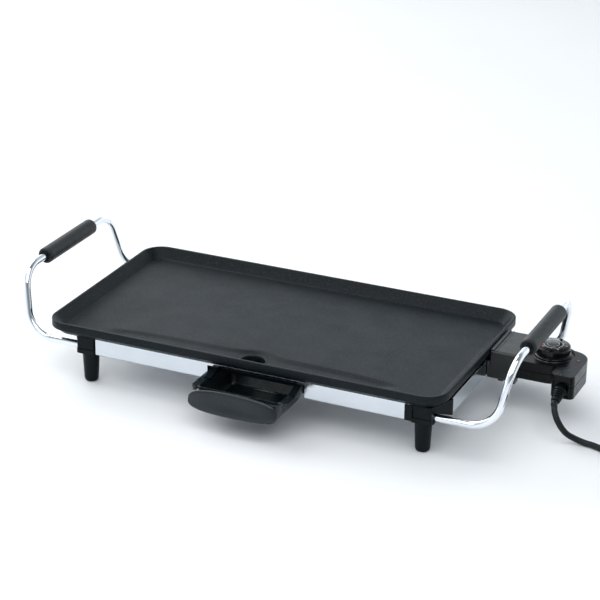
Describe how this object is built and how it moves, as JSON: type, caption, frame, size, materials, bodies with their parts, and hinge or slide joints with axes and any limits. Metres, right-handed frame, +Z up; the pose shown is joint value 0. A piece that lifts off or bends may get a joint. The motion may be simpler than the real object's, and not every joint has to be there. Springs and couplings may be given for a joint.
{
  "type": "electric griddle",
  "caption": "Flat griddle plate on a mirror-steel base with looped carrying handles, a pull-out grease tray and a plug-in thermostat dial on a mains cord.",
  "frame": {"origin": "the middle of the griddle's box on the table top, under its feet, measured without the cord", "axes": "+X towards the end that the control plugs into, +Y away from the grease tray, +Z up"},
  "size_m": [0.8222, 0.3118, 0.1255],
  "materials": {
    "coating": "satin non-stick coating on die-cast metal",
    "black_plastic": "satin moulding texture",
    "gloss_plastic": "glossy black",
    "chrome": "bright chrome plate",
    "polished_steel": "mirror-polished sheet",
    "reflector_sheet": "mill-finish sheet",
    "cast_aluminium": "as cast",
    "steel": "zinc-plated",
    "brass": "plain brass",
    "element_sheath": "heat-darkened sheath",
    "ceramic": "unglazed",
    "lens": "translucent red",
    "dial_print": "black with pale printed marks",
    "cord_jacket": "satin flexible jacket"
  },
  "bodies": {
    "griddle": {"griddle_plate": "coating", "heating_element": "element_sheath", "terminal_pin_front": "steel", "terminal_pin_rear": "steel", "sensor_socket": "cast_aluminium", "leg_block_front_left": "black_plastic", "leg_post_front_left": "black_plastic", "leg_screw_front_left": "steel", "leg_block_front_right": "black_plastic", "leg_post_front_right": "black_plastic", "leg_screw_front_right": "steel", "leg_block_rear_left": "black_plastic", "leg_post_rear_left": "black_plastic", "leg_screw_rear_left": "steel", "leg_block_rear_right": "black_plastic", "leg_post_rear_right": "black_plastic", "leg_screw_rear_right": "steel", "handle_rod_left": "chrome", "handle_grip_left": "black_plastic", "handle_rod_right": "chrome", "handle_grip_right": "black_plastic", "skirt_front": "polished_steel", "skirt_rear": "polished_steel", "skirt_left": "polished_steel", "skirt_right": "polished_steel", "reflector": "reflector_sheet", "tray_guide": "black_plastic", "inlet_guard": "black_plastic", "guard_screw_front": "steel", "guard_screw_rear": "steel"},
    "grease_tray": {"grease_tray": "black_plastic"},
    "control": {"control_upper_shell": "black_plastic", "control_lower_shell": "black_plastic", "control_screw_front": "steel", "control_screw_rear": "steel", "control_screw_end": "steel", "temperature_probe": "steel", "contact_socket_front": "brass", "contact_socket_rear": "brass", "thermostat_switch": "ceramic", "dial_trim_ring": "chrome", "pilot_lens": "lens", "neon_lamp": "lens", "strain_relief": "black_plastic", "power_cord": "cord_jacket", "cord_coil": "cord_jacket", "plug_body": "black_plastic", "plug_blade_left": "brass", "plug_blade_right": "brass", "plug_earth_pin": "brass"},
    "dial": {"dial_knob": "gloss_plastic", "dial_face": "dial_print", "dial_spindle": "steel"}
  },
  "joints": [
    {"name": "tray_slide", "type": "slide", "parent": "griddle", "child": "grease_tray", "axis": [0, -1, 0], "range_m": [0, 0.09]},
    {"name": "control_pull", "type": "slide", "parent": "griddle", "child": "control", "axis": [1, 0, 0], "range_m": [0, 0.075]},
    {"name": "dial_turn", "type": "hinge", "parent": "control", "child": "dial", "pos_m": [0.28175, 0.07542, 0.07], "axis": [0, 0, 1], "range_deg": [-270, 0]}
  ]
}
